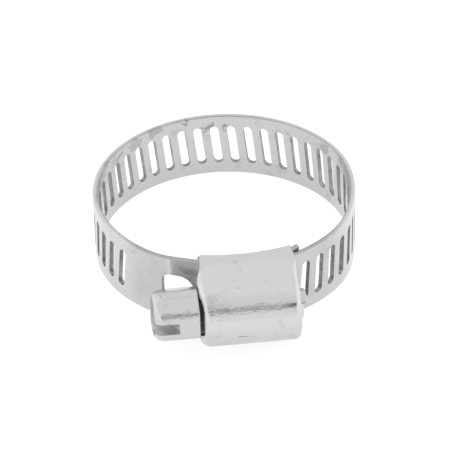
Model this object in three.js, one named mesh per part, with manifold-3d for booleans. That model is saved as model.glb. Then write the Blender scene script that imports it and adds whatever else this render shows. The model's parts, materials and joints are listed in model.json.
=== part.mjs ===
// Worm-drive hose clamp with a narrow perforated band, opened close to its largest size.
// Millimetres. The origin is the centre of the ring at half the band's width, +Z is the ring's axis, and
// the housing sits on the ring's -Y side. The worm screw runs along X under it, its head towards -X.
// The band is one strip of sheet steel. It is built as short rigid stretches, cut in the webs between its
// slots, so that it can bend at the cuts when the screw draws the tail through the housing.

import * as THREE from 'three';
import { mergeVertices } from 'three/addons/utils/BufferGeometryUtils.js';
import Module from 'manifold-3d';

const wasm = await Module();
wasm.setup();

// Band
const RING_INNER_RADIUS = 14.4;
const BAND_WIDTH = 8;
const BAND_THICKNESS = 0.6;
const DIVE_DEPTH = 0.45;        // the fixed end sinks this far inwards to pass under the tail
const DIVE_FROM = 229;          // degrees, counter-clockwise from +X
const DIVE_TO = 250;
const LIFT_HEIGHT = 0.25;       // the tail runs this far outside the ring
const LIFT_FROM = -15;
const LIFT_TO = -38;
const FLAT_DEPTH = 0.2;         // the ring's right side is a little flat
const FLAT_CENTRE = -7;
const FLAT_HALF_SPAN = 36;
const FIXED_END = 297.7;        // where the fixed end stops, past the housing
const TAIL_END = -106;          // where the tail stops, inside the housing
const TAIL_CORNER = 2.2;

// Slots
const SLOT_STEP = 7.83;         // degrees from slot to slot
const FIRST_WEB = -57.4;        // degrees, a web between two slots beside the housing
const SLOT_LENGTH = 5.1;
const SLOT_WIDTH = 1.05;
const SLOT_LEAN = 6.5;          // degrees, to match the screw's thread
const LAST_SLOT = 35;           // counted from the first web
const HINGE_WEBS = [3, 7, 11, 15, 19, 23, 27, 31, 34];
const TIP_WEB = -4;
const CUT = 0.1;                // gap between two neighbouring stretches

// Window in the fixed end, beside the housing
const WINDOW_ANGLE = 242.24;
const WINDOW_HALF_HEIGHT = 1.8;
const WINDOW_LEFT = 1.83;
const WINDOW_CORNER = 0.8;

// Housing
const SHEET = 0.6;
const HOUSING_MIDDLE = 0.7;     // X of the housing's and the screw's own zero, from which they are measured
const HOUSING_HALF_LENGTH = 5.3;
const SADDLE_INNER_RADIUS = 13.28;
const SADDLE_OUTER_RADIUS = 13.85;
const FLANK_HALF_WIDTH = 4.75;
const FLANK_FOOT = 15.35;       // distance from the ring's centre where the flanks start to close in
const BULGE_RADIUS = 3.9;
const BULGE_END_ROUND = 1;
const BAND_ROOM = 16.3;         // the housing's ends are open up to this distance from the ring's centre
const HEAD_SIDE_HOLE = 2.35;
const TIP_SIDE_HOLE = 2.95;
const DEEP_INSIDE = 11.5;       // well inside the saddle, where a cutter may start

// Worm screw
const SCREW_DISTANCE = 17.45;
const SCREW_PITCH = 2.04;
const CORE_RADIUS = 2.05;
const THREAD_RADIUS = 2.75;
const THREAD_CREST = 0.36;
const THREAD_ROOT = 0.76;
const THREAD_CENTRE = 0.648;    // a tooth meets the band here, in line with a slot
const THREAD_FROM = -4.35;
const THREAD_TO = 5.4;
const THREAD_RUNOUT = 0.12;     // turns over which the thread rises and fades
const SCREW_TIP = 6.1;
const NECK_RADIUS = 2;
const HEAD_FROM = -5.72;
const HEAD_TO = -10.95;
const HEAD_FLATS = 5.5;
const HEAD_CORNER_RADIUS = 3;
const HEAD_FACE_RADIUS = 2.5;
const HEAD_CHAMFER = 0.6;
const DRIVER_SLOT_WIDTH = 1.4;
const DRIVER_SLOT_DEPTH = 2.9;

const rad = THREE.MathUtils.degToRad;
const step = THREE.MathUtils.smoothstep;

const steel = { color: 0xd2d3d6, roughness: 0.28, metalness: 1 };
const group = new THREE.Group();

function addMesh(name, geometry, look = steel) {
  const mesh = new THREE.Mesh(geometry, new THREE.MeshStandardMaterial(look));
  mesh.name = name;
  group.add(mesh);
  return mesh;
}

// Closed mesh to solid and back.
function solid(geometry) {
  const bare = geometry.clone();
  bare.deleteAttribute('normal');
  bare.deleteAttribute('uv');
  const merged = mergeVertices(bare, 1e-4);
  const vertProperties = new Float32Array(merged.attributes.position.array);
  const triVerts = new Uint32Array(merged.index.array);
  return new wasm.Manifold(new wasm.Mesh({ numProp: 3, vertProperties, triVerts }));
}

function geometryOf(manifold) {
  const mesh = manifold.getMesh();
  const geometry = new THREE.BufferGeometry();
  geometry.setAttribute('position', new THREE.BufferAttribute(mesh.vertProperties, 3));
  geometry.setIndex(new THREE.BufferAttribute(mesh.triVerts, 1));
  geometry.computeVertexNormals();
  return geometry;
}

// ---- Band ----

// The band's inner radius at each angle, from the tail (negative angles) round to the fixed end.
function innerRadius(degrees) {
  const dive = step(degrees, DIVE_FROM, DIVE_TO);
  const lift = 1 - step(degrees, LIFT_TO, LIFT_FROM);
  const across = THREE.MathUtils.clamp((degrees - FLAT_CENTRE) / FLAT_HALF_SPAN, -1, 1);
  const flat = Math.cos(across * Math.PI / 2) ** 2;
  return RING_INNER_RADIUS - dive * DIVE_DEPTH + lift * LIFT_HEIGHT - flat * FLAT_DEPTH;
}

function webAngle(index) {
  return FIRST_WEB + index * SLOT_STEP;
}

// A stretch of band from one angle to another. leanAt gives how much of the slots' lean its cross-section
// has at an angle: 1 at a cut that follows a web, 0 at a square end.
function bandStretch(from, to, leanAt) {
  const count = Math.ceil((to - from) / SLOT_STEP);
  const outer = [];
  const inner = [];
  for (let i = 0; i <= count; i++) {
    const degrees = from + (to - from) * i / count;
    const radius = innerRadius(degrees);
    const x = Math.cos(rad(degrees));
    const y = Math.sin(rad(degrees));
    outer.push(new THREE.Vector2(x, y).multiplyScalar(radius + BAND_THICKNESS));
    inner.unshift(new THREE.Vector2(x, y).multiplyScalar(radius));
  }
  const shape = new THREE.Shape([...outer, ...inner]);
  const geometry = new THREE.ExtrudeGeometry(shape, { depth: BAND_WIDTH, bevelEnabled: false });
  geometry.translate(0, 0, -BAND_WIDTH / 2);
  const middle = (from + to) / 2;
  const position = geometry.attributes.position;
  for (let i = 0; i < position.count; i++) {
    const x = position.getX(i);
    const y = position.getY(i);
    const z = position.getZ(i);
    const plain = THREE.MathUtils.radToDeg(Math.atan2(y, x));
    const degrees = plain + 360 * Math.round((middle - plain) / 360);
    const turn = leanAt(degrees) * z * Math.tan(rad(SLOT_LEAN)) / RING_INNER_RADIUS;
    position.setXYZ(i, x * Math.cos(turn) - y * Math.sin(turn), x * Math.sin(turn) + y * Math.cos(turn), z);
  }
  return solid(geometry);
}

// A cutter that goes straight through the band at an angle. Its outline's x runs along the band and its y
// runs across it.
function radialCutter(shape, degrees, lean = 0) {
  const reach = 2;
  const geometry = new THREE.ExtrudeGeometry(shape, { depth: reach, bevelEnabled: false });
  geometry.rotateZ(-rad(lean));
  const along = new THREE.Vector3(-Math.sin(rad(degrees)), Math.cos(rad(degrees)), 0);
  const outward = new THREE.Vector3(Math.cos(rad(degrees)), Math.sin(rad(degrees)), 0);
  const start = outward.clone().multiplyScalar(innerRadius(degrees) - (reach - BAND_THICKNESS) / 2);
  const place = new THREE.Matrix4().makeBasis(along, new THREE.Vector3(0, 0, 1), outward);
  geometry.applyMatrix4(place.setPosition(start));
  return solid(geometry);
}

function slotShape() {
  const end = SLOT_WIDTH / 2;
  const reach = SLOT_LENGTH / 2 - end;
  const sides = 6;
  const points = [];
  for (let i = 0; i <= sides; i++) {
    const turn = Math.PI * i / sides;
    points.push(new THREE.Vector2(end * Math.cos(turn), reach + end * Math.sin(turn)));
  }
  for (let i = 0; i <= sides; i++) {
    const turn = Math.PI * (1 + i / sides);
    points.push(new THREE.Vector2(end * Math.cos(turn), -reach + end * Math.sin(turn)));
  }
  return new THREE.Shape(points);
}

// D-shaped: round towards the housing, square with rounded corners away from it.
function windowShape() {
  const h = WINDOW_HALF_HEIGHT;
  const r = WINDOW_CORNER;
  const shape = new THREE.Shape();
  shape.moveTo(0, -h);
  shape.absarc(0, 0, h, -Math.PI / 2, Math.PI / 2, false);
  shape.absarc(-WINDOW_LEFT + r, h - r, r, Math.PI / 2, Math.PI, false);
  shape.absarc(-WINDOW_LEFT + r, -h + r, r, Math.PI, 1.5 * Math.PI, false);
  return new THREE.Shape(shape.getPoints(4));
}

// What a rounded corner takes off the tail's end, on the side of the band that sign names.
function tailCornerShape(sign) {
  const half = BAND_WIDTH / 2;
  const sides = 4;
  const points = [new THREE.Vector2(-1, sign * (half + 1))];
  points.push(new THREE.Vector2(-1, sign * (half - TAIL_CORNER)));
  for (let i = 0; i <= sides; i++) {
    const turn = Math.PI / 2 * i / sides;
    const along = TAIL_CORNER * (1 - Math.cos(turn));
    const across = half - TAIL_CORNER * (1 - Math.sin(turn));
    points.push(new THREE.Vector2(along, sign * across));
  }
  points.push(new THREE.Vector2(TAIL_CORNER, sign * (half + 1)));
  return new THREE.Shape(points);
}

function cutSlots(stretch, from, to) {
  const shape = slotShape();
  let cut = stretch;
  for (let index = TIP_WEB - 3; index <= LAST_SLOT; index++) {
    const degrees = webAngle(index) - SLOT_STEP / 2;
    if (degrees > from && degrees < to) cut = cut.subtract(radialCutter(shape, degrees, SLOT_LEAN));
  }
  return cut;
}

const halfCut = THREE.MathUtils.radToDeg(CUT / 2 / RING_INNER_RADIUS);

function bandLink(firstWeb, lastWeb) {
  const from = webAngle(firstWeb) + halfCut;
  const to = webAngle(lastWeb) - halfCut;
  return geometryOf(cutSlots(bandStretch(from, to, () => 1), from, to));
}

function bandTailTip() {
  const to = webAngle(TIP_WEB) - halfCut;
  let tip = bandStretch(TAIL_END, to, degrees => (degrees - TAIL_END) / (to - TAIL_END));
  tip = cutSlots(tip, TAIL_END + SLOT_STEP / 2, to);
  for (const sign of [1, -1]) tip = tip.subtract(radialCutter(tailCornerShape(sign), TAIL_END));
  return geometryOf(tip);
}

function bandFixedEnd() {
  const from = webAngle(HINGE_WEBS.at(-1)) + halfCut;
  const squareFrom = DIVE_FROM;
  let end = bandStretch(from, FIXED_END, degrees => 1 - step(degrees, from, squareFrom));
  end = cutSlots(end, from, FIXED_END);
  return geometryOf(end.subtract(radialCutter(windowShape(), WINDOW_ANGLE)));
}

// ---- Housing ----

// A block along X with the given outline. The outline's x is the distance from the ring's centre towards
// -Y, and its y is Z.
function blockAlongX(points, halfLength) {
  const shape = new THREE.Shape(points.map(([out, up]) => new THREE.Vector2(out, up)));
  const geometry = new THREE.ExtrudeGeometry(shape, { depth: 2 * halfLength, bevelEnabled: false });
  geometry.translate(0, 0, -halfLength - HOUSING_MIDDLE);
  const outwards = new THREE.Vector3(0, -1, 0);
  const upwards = new THREE.Vector3(0, 0, 1);
  const along = new THREE.Vector3(-1, 0, 0);
  geometry.applyMatrix4(new THREE.Matrix4().makeBasis(outwards, upwards, along));
  return solid(geometry);
}

// A round body on the screw's axis, from [radius, x] points that start and end on the axis.
function turnedOnScrewAxis(points, segments) {
  const profile = points.map(([radius, x]) => new THREE.Vector2(radius, x));
  const geometry = new THREE.LatheGeometry(profile, segments);
  geometry.rotateZ(-Math.PI / 2);
  geometry.translate(HOUSING_MIDDLE, -SCREW_DISTANCE, 0);
  return solid(geometry);
}

// An upright cylinder round the ring's axis, with a flat of its outline facing the housing.
function ringCylinder(radius) {
  const sides = 48;
  const geometry = new THREE.CylinderGeometry(radius, radius, 4 * BAND_WIDTH, sides);
  geometry.rotateX(Math.PI / 2);
  geometry.rotateZ(Math.PI / sides);
  return solid(geometry);
}

// Where a straight flank from the foot meets the bulge's circle, as an angle on that circle.
function tangentAngle(halfWidth, radius) {
  const back = FLANK_FOOT - SCREW_DISTANCE;
  return Math.atan2(halfWidth, back) - Math.acos(radius / Math.hypot(back, halfWidth));
}

// Outline of the two flanks, from well inside the saddle to where they meet the bulge.
function flankOutline(halfWidth, radius) {
  const angle = tangentAngle(halfWidth, radius);
  const out = SCREW_DISTANCE + radius * Math.cos(angle);
  const up = radius * Math.sin(angle);
  const upper = [[DEEP_INSIDE, halfWidth], [FLANK_FOOT, halfWidth], [out, up]];
  const lower = upper.map(([x, y]) => [x, -y]).reverse();
  return [...lower, ...upper];
}

function bulgeProfile() {
  const corner = HOUSING_HALF_LENGTH - BULGE_END_ROUND;
  const sides = 3;
  const points = [[0, -HOUSING_HALF_LENGTH]];
  for (const side of [-1, 1]) {
    for (let i = 0; i <= sides; i++) {
      const turn = Math.PI / 2 * (side < 0 ? i : sides - i) / sides;
      const radius = BULGE_RADIUS - BULGE_END_ROUND * (1 - Math.sin(turn));
      points.push([radius, side * (corner + BULGE_END_ROUND * Math.cos(turn))]);
    }
  }
  points.push([0, HOUSING_HALF_LENGTH]);
  return points;
}

function housing() {
  const roundSides = 48;
  const inside = HOUSING_HALF_LENGTH - SHEET;
  const past = HOUSING_HALF_LENGTH + 1;
  const flankRoom = FLANK_HALF_WIDTH - SHEET;
  const boreRadius = BULGE_RADIUS - SHEET;
  const flanks = blockAlongX(flankOutline(FLANK_HALF_WIDTH, BULGE_RADIUS), HOUSING_HALF_LENGTH);
  const outside = turnedOnScrewAxis(bulgeProfile(), roundSides).add(flanks)
    .subtract(ringCylinder(SADDLE_INNER_RADIUS));
  const screwRoom = turnedOnScrewAxis(
    [[0, -past], [HEAD_SIDE_HOLE, -past], [HEAD_SIDE_HOLE, -inside], [boreRadius, -inside],
      [boreRadius, inside], [TIP_SIDE_HOLE, inside], [TIP_SIDE_HOLE, past], [0, past]], roundSides);
  const endOpening = blockAlongX([[DEEP_INSIDE, -BAND_WIDTH], [BAND_ROOM, -BAND_WIDTH],
    [BAND_ROOM, BAND_WIDTH], [DEEP_INSIDE, BAND_WIDTH]], past);
  const bandRoom = blockAlongX(flankOutline(flankRoom, boreRadius), past).intersect(endOpening);
  const room = blockAlongX(flankOutline(flankRoom, boreRadius), inside).add(bandRoom)
    .subtract(ringCylinder(SADDLE_OUTER_RADIUS)).add(screwRoom);
  return geometryOf(outside.subtract(room));
}

// ---- Worm screw ----

// The helical ridge, as a trapezoid swept round the axis. Its foot is sunk in the core.
function threadRidge() {
  const stepsPerTurn = 20;
  const sunk = 0.15;
  const firstTurn = (THREAD_FROM - THREAD_CENTRE) / SCREW_PITCH;
  const lastTurn = (THREAD_TO - THREAD_CENTRE) / SCREW_PITCH;
  const count = Math.round((lastTurn - firstTurn) * stepsPerTurn);
  const positions = [];
  for (let i = 0; i <= count; i++) {
    const turns = firstTurn + (lastTurn - firstTurn) * i / count;
    const rise = Math.min(1, (turns - firstTurn) / THREAD_RUNOUT, (lastTurn - turns) / THREAD_RUNOUT);
    const top = THREE.MathUtils.lerp(CORE_RADIUS - sunk / 2, THREAD_RADIUS, rise);
    const foot = CORE_RADIUS - sunk;
    const section = [[-THREAD_ROOT / 2, foot], [-THREAD_CREST / 2, top],
      [THREAD_CREST / 2, top], [THREAD_ROOT / 2, foot]];
    const turn = turns * 2 * Math.PI;
    for (const [along, radius] of section) {
      const x = HOUSING_MIDDLE + THREAD_CENTRE + turns * SCREW_PITCH + along;
      positions.push(x, -SCREW_DISTANCE + radius * Math.cos(turn), radius * Math.sin(turn));
    }
  }
  const index = [0, 1, 2, 0, 2, 3];
  for (let i = 0; i < count; i++) {
    for (let side = 0; side < 4; side++) {
      const a = 4 * i + side;
      const b = 4 * i + (side + 1) % 4;
      index.push(a, a + 4, b, b, a + 4, b + 4);
    }
  }
  const last = 4 * count;
  index.push(last, last + 2, last + 1, last, last + 3, last + 2);
  const geometry = new THREE.BufferGeometry();
  geometry.setAttribute('position', new THREE.Float32BufferAttribute(positions, 3));
  geometry.setIndex(index);
  return solid(geometry);
}

function screwHead() {
  const length = HEAD_FROM - HEAD_TO;
  const hex = new THREE.CylinderGeometry(1, 1, length, 6);
  const corner = HEAD_FLATS / 2 / Math.cos(Math.PI / 6);
  hex.scale(corner, 1, corner);
  hex.rotateZ(-Math.PI / 2);
  hex.translate(HOUSING_MIDDLE + (HEAD_FROM + HEAD_TO) / 2, -SCREW_DISTANCE, 0);
  const round = turnedOnScrewAxis([[0, HEAD_TO], [HEAD_FACE_RADIUS, HEAD_TO],
    [HEAD_CORNER_RADIUS, HEAD_TO + HEAD_CHAMFER], [HEAD_CORNER_RADIUS, HEAD_FROM - HEAD_CHAMFER],
    [HEAD_FACE_RADIUS, HEAD_FROM], [0, HEAD_FROM]], 36);
  const slot = new THREE.BoxGeometry(2 * DRIVER_SLOT_DEPTH, 2 * HEAD_FLATS, DRIVER_SLOT_WIDTH);
  slot.translate(HOUSING_MIDDLE + HEAD_TO, -SCREW_DISTANCE, 0);
  return solid(hex).intersect(round).subtract(solid(slot));
}

function wormScrew() {
  const shoulder = THREAD_FROM - THREAD_ROOT;
  const tipChamfer = 0.3;
  const shank = turnedOnScrewAxis([[0, HEAD_FROM - 1], [NECK_RADIUS, HEAD_FROM - 1],
    [NECK_RADIUS, shoulder], [CORE_RADIUS, shoulder + 0.1], [CORE_RADIUS, SCREW_TIP - tipChamfer],
    [CORE_RADIUS - tipChamfer, SCREW_TIP], [0, SCREW_TIP]], 24);
  return geometryOf(shank.add(threadRidge()).add(screwHead()));
}

// ---- Assembly ----

addMesh('housing', housing());
addMesh('worm_screw', wormScrew(), { color: 0xc4c5c8, roughness: 0.35, metalness: 1 });
addMesh('band_fixed_end', bandFixedEnd());
for (let i = 1; i < HINGE_WEBS.length; i++) {
  addMesh(`band_link_${i}`, bandLink(HINGE_WEBS[i - 1], HINGE_WEBS[i]));
}
addMesh('band_tail', bandLink(TIP_WEB, HINGE_WEBS[0]));
addMesh('band_tail_tip', bandTailTip());

export default group;
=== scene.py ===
import json
import math

import bmesh
import bpy
import numpy as np
from mathutils import Matrix, Vector

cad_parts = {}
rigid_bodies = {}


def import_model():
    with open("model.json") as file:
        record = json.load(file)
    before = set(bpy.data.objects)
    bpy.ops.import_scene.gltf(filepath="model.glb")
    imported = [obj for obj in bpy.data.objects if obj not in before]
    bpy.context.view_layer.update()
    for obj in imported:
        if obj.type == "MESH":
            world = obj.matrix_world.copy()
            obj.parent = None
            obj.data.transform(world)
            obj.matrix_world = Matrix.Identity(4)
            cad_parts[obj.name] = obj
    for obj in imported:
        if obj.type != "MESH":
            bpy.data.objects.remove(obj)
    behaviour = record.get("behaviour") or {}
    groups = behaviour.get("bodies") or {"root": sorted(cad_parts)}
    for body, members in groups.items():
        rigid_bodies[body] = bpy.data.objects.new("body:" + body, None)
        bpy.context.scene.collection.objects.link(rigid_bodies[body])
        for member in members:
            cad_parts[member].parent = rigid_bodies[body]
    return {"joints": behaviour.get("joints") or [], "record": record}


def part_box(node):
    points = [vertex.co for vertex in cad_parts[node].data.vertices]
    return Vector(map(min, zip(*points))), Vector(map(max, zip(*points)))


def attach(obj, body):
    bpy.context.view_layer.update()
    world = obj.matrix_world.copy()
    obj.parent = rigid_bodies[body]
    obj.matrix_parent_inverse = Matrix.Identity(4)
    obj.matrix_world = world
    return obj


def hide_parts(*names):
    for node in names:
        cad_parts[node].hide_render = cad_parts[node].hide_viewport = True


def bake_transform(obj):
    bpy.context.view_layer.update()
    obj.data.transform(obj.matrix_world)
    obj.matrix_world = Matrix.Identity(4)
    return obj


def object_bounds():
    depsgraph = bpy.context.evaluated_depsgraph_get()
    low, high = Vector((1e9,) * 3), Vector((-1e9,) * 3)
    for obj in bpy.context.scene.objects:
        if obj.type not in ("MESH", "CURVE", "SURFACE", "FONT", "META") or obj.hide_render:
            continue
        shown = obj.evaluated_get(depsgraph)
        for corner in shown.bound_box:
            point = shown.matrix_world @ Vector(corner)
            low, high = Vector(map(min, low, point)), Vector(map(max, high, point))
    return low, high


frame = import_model()
cad_low, cad_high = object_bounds()

# A worm-drive hose clamp with a perforated band. Shapes are worked out in millimetres, in the CAD's frame:
# the ring's axis is Z, the housing is on its -Y side and the screw runs along X, its head towards -X.
MM = 0.001
JOINTS = {joint["name"]: joint for joint in frame["joints"]}
MOUNTS = {mount["name"]: mount for mount in frame["record"]["mounts"]}


# Band. Angles are in degrees round the ring, from +X towards +Y; a web is the bar between two slots.
RING_INNER = MOUNTS["hose_seat"]["dims"]["r_mm"]
BAND_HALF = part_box("band_link_4")[1].z / MM
THICK = 0.6
RING_MID = RING_INNER + THICK / 2
DIVE_DEPTH, DIVE_FROM, DIVE_TO = 0.45, 229, 250            # inwards, where the fixed end lies under the tail
LIFT_HEIGHT, LIFT_TO, LIFT_FROM = 0.25, -38, -15           # outwards, where the tail runs up to the housing
FLAT_DEPTH, FLAT_CENTRE, FLAT_HALF_SPAN = 0.2, -7, 36      # the ring is a little flat on its right side
SLOT_STEP = 7.83
FIRST_WEB = -57.4
SLOT_LENGTH, SLOT_WIDTH, SLOT_LEAN = 5.1, 1.05, 6.5
USED_STRAIGHTER = 3.0    # the thread has pushed the slots that it has used this much straighter
USED_FROM, USED_FULL, USED_LESS, USED_TO = -66, -58, -5, 30
FIXED_END = 297.7
END_RAISED, RAISED_FROM, RAISED_TO = 0.38, FIXED_END - 5, FIXED_END - 1
# Length of the fixed end whose faces get the darker cut-edge steel, as painted shade.
END_PAINTED_SHADE = 0.8
TAIL_END = -106.5
TAIL_CORNER = 1.2
LEAN_FULL = TAIL_END + 7
# The first web of the tip, of the tail and of the first link, and the last web of all.
TIP_WEB, TAIL_WEB, FIRST_LINK_WEB, LAST_WEB = -6, -2, 1, 35
HINGE_WEBS = [3, 7, 11, 15, 19, 23, 27, 31, 34]
BEND_RUN, SHORT_BEND_RUN = 3.4, 1.9                        # half the length of band that a hinge bends
WINDOW_ANGLE, WINDOW_HEIGHT, WINDOW_LEFT, WINDOW_CORNER = 242.24, 1.8, 1.83, 0.9
WINDOW_REACH = 2.9       # from the window's middle to the plain band on each side
EDGE_ROUND = 0.1
SLOT_ROUND = 0.05
ROUND_TURNS = np.radians([0, 30, 60, 90])

# Housing
HOUSING_MIDDLE = (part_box("housing")[0].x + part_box("housing")[1].x) / 2 / MM
HOUSING_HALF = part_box("housing")[1].x / MM - HOUSING_MIDDLE
HOUSING_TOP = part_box("housing")[1].z / MM
SADDLE_FACE = -MOUNTS["saddle_face"]["pos_m"][1] / MM
SHEET = 0.6
FLANK_FOOT = 15.35
SEAM = 0.07              # half of the gap where the sheet's two edges meet
FOLD_ROUND, FLANK_ROUND = 0.85, 7
FOLD_RADIUS = 22         # the top fold is straighter than the saddle wall below it
CORNER_EASE = 0.3        # what the fold loses in length at each end
EASE = 0.4               # how softly one stretch of the sheet passes into the next
ROLL_RUN = 1.3           # how far from its ends the sheet starts to roll in
LIP_RIGHT, LIP_LEFT = (0.95, 0.76), (1.5, 0.8)             # depth and rounding of the rolled-in lips
# Where the roll and the flare begin and are full, as distances from the ring's centre.
ROLL_FROM, ROLL_TO = 15.3, 16.8
FLARE, FLARE_FROM, FLARE_TO = 0.42, 15.4, 16.5
FLARE_LOSS, LOSS_FROM, LOSS_TO = 0.3, 18.3, 20.3
SCREW_DISTANCE = -JOINTS["screw_turn"]["pos_m"][1] / MM
BULGE = -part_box("housing")[0].y / MM - SCREW_DISTANCE

# Screw
HEAD_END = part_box("worm_screw")[0].x / MM
HEAD_START = HOUSING_MIDDLE - 5.72
HEAD_FLATS = 2 * (-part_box("worm_screw")[0].y / MM - SCREW_DISTANCE)
SCREW_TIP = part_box("worm_screw")[1].x / MM
THREAD_FROM = HOUSING_MIDDLE - 4.9
CORE, THREAD_TOP, PITCH, THREAD_CENTRE = 2.05, 2.75, 2.04, HOUSING_MIDDLE + 0.648
CREST, TOOTH_FOOT = 0.16, 0.42                             # half widths of a tooth, at its top and foot
NECK_COLLAR, TIP_THINNER = 0.3, 0.4                        # what the neck's radius gains and the tip's loses
TIP_STEP, TIP_STEP_TURN, TIP_ROUND = 0.6, math.radians(144), 0.22
SLOT_DEPTH, SLOT_HALF = 2.9, 0.7


def smooth(value, low, high):
    """A soft step from 0 at low to 1 at high."""
    share = np.clip((value - low) / (high - low), 0, 1)
    return share * share * (3 - 2 * share)


def inner_radius(degrees):
    """The band's inner radius, from the tail (negative angles) round to the fixed end."""
    dive = smooth(degrees, DIVE_FROM, DIVE_TO)
    lift = 1 - smooth(degrees, LIFT_TO, LIFT_FROM)
    across = np.clip((degrees - FLAT_CENTRE) / FLAT_HALF_SPAN, -1, 1)
    flat = np.cos(across * np.pi / 2) ** 2
    return RING_INNER - dive * DIVE_DEPTH + lift * LIFT_HEIGHT - flat * FLAT_DEPTH


def web_angle(index):
    """The angle of a web's middle."""
    return FIRST_WEB + index * SLOT_STEP


def along(degrees):
    """Distance along the band of an angle round the ring."""
    return math.radians(degrees) * RING_MID


def bend(flat):
    """Points of the flat strip (along, across, height through the sheet) to the rolled band."""
    s, z, h = flat.T
    degrees = np.degrees(s / RING_MID)
    least = 0.02             # keeps the tail's corners from closing to a point
    from_tail = np.clip((s - along(TAIL_END)) / TAIL_CORNER, least, 1)
    corner_half = BAND_HALF - TAIL_CORNER * (1 - np.sqrt(1 - (1 - from_tail) ** 2))
    kept = SLOT_LENGTH / 2
    beyond = np.maximum(np.abs(z) - kept, 0) * (corner_half - kept) / (BAND_HALF - kept)
    z = np.sign(z) * (np.minimum(np.abs(z), kept) + beyond)
    used = smooth(degrees, USED_FROM, USED_FULL) * (1 - smooth(degrees, USED_LESS, USED_TO))
    slope = np.tan(np.radians(SLOT_LEAN - USED_STRAIGHTER * used))
    lean = smooth(degrees, TAIL_END, LEAN_FULL) - smooth(degrees, web_angle(LAST_WEB), DIVE_FROM)
    angle = s / RING_MID + lean * z * slope / RING_MID
    radius = inner_radius(np.degrees(angle)) + h
    raised = z + END_RAISED * smooth(degrees, RAISED_FROM, RAISED_TO)
    return np.stack([radius * np.cos(angle), radius * np.sin(angle), raised], axis=1)


def mesh_object(name, points, faces, materials, slots=None):
    """A smooth-shaded object from points in millimetres."""
    mesh = bpy.data.meshes.new(name)
    mesh.from_pydata([tuple(p) for p in np.asarray(points) * MM], [], faces)
    for material in materials:
        mesh.materials.append(material)
    if slots is not None:
        mesh.polygons.foreach_set("material_index", slots)
    mesh.polygons.foreach_set("use_smooth", [True] * len(mesh.polygons))
    mesh.update()
    made = bpy.data.objects.new(name, mesh)
    bpy.context.scene.collection.objects.link(made)
    return made


# ---- The band, piece by piece, laid out flat and then rolled ----

FACE, WALL = 0, 1
MARGIN = BAND_HALF - EDGE_ROUND
STRAIGHT = (SLOT_LENGTH - SLOT_WIDTH) / 2
BESIDE_STEPS = 4         # from a slot's straight side to the band's edge
STRAIGHT_Z = np.linspace(-STRAIGHT, STRAIGHT, 7)
BESIDE_Z = np.linspace(STRAIGHT, MARGIN, BESIDE_STEPS + 1)
SIDE_Z = np.concatenate([-BESIDE_Z[:0:-1], STRAIGHT_Z, BESIDE_Z[1:]])


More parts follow.
